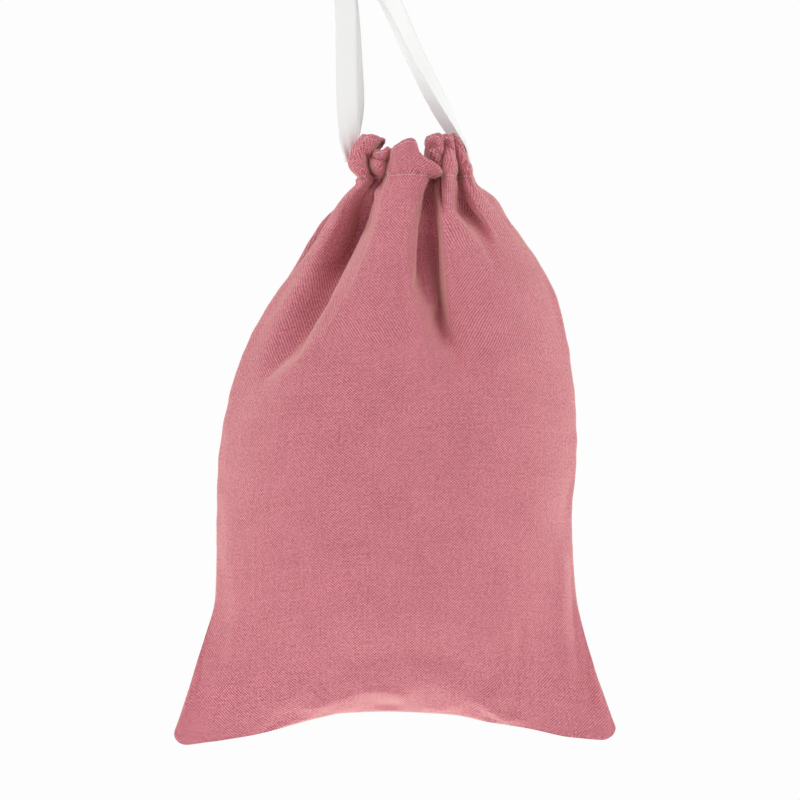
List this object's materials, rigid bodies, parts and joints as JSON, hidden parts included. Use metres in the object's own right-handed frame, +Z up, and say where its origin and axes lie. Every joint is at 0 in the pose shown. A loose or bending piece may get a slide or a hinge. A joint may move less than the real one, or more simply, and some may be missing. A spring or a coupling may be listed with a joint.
{
  "type": "drawstring bag",
  "caption": "Linen drawstring bag, softly filled, hanging closed from satin ribbons that run through its gathered hem.",
  "frame": {"origin": "the point that the bag hangs from, between the two ribbon knots", "axes": "+Z up, against gravity; -Y out of the bag's front; +X to the right, seen from the front"},
  "size_m": [0.2106, 0.1066, 0.3901],
  "materials": {
    "linen": "plain-weave linen, dusty rose, matt",
    "sewing_thread": "spun thread, a little paler than the cloth",
    "satin_ribbon": "white satin ribbon, soft sheen"
  },
  "bodies": {
    "ribbon_tails": {"left_ribbon_knot": "satin_ribbon", "right_ribbon_knot": "satin_ribbon", "left_ribbon_front_tail": "satin_ribbon", "left_ribbon_back_tail": "satin_ribbon", "right_ribbon_front_tail": "satin_ribbon", "right_ribbon_back_tail": "satin_ribbon"},
    "bag": {"front_panel": "linen", "back_panel": "linen", "left_side_seam": "linen", "right_side_seam": "linen", "bottom_seam": "linen", "left_ribbon_turn": "satin_ribbon", "right_ribbon_turn": "satin_ribbon"},
    "front_hem": {"front_casing": "linen", "front_hem_stitching": "sewing_thread", "front_head_stitching": "sewing_thread", "left_ribbon_front_run": "satin_ribbon", "right_ribbon_front_run": "satin_ribbon"},
    "back_hem": {"back_casing": "linen", "back_hem_stitching": "sewing_thread", "back_head_stitching": "sewing_thread", "left_ribbon_back_run": "satin_ribbon", "right_ribbon_back_run": "satin_ribbon"}
  },
  "joints": [
    {"name": "drawstring_slip", "type": "slide", "parent": "ribbon_tails", "child": "bag", "axis": [0, 0, 1], "range_m": [0, 0.03], "deforming": ["left_ribbon_front_tail", "left_ribbon_back_tail", "right_ribbon_front_tail", "right_ribbon_back_tail"]},
    {"name": "mouth_front_open", "type": "slide", "parent": "bag", "child": "front_hem", "axis": [0, -1, 0], "range_m": [0, 0.006]},
    {"name": "mouth_back_open", "type": "slide", "parent": "bag", "child": "back_hem", "axis": [0, 1, 0], "range_m": [0, 0.006]}
  ],
  "couplings": [
    {"joint": "mouth_front_open", "follows": "drawstring_slip", "ratio": 0.2},
    {"joint": "mouth_back_open", "follows": "drawstring_slip", "ratio": 0.2}
  ]
}
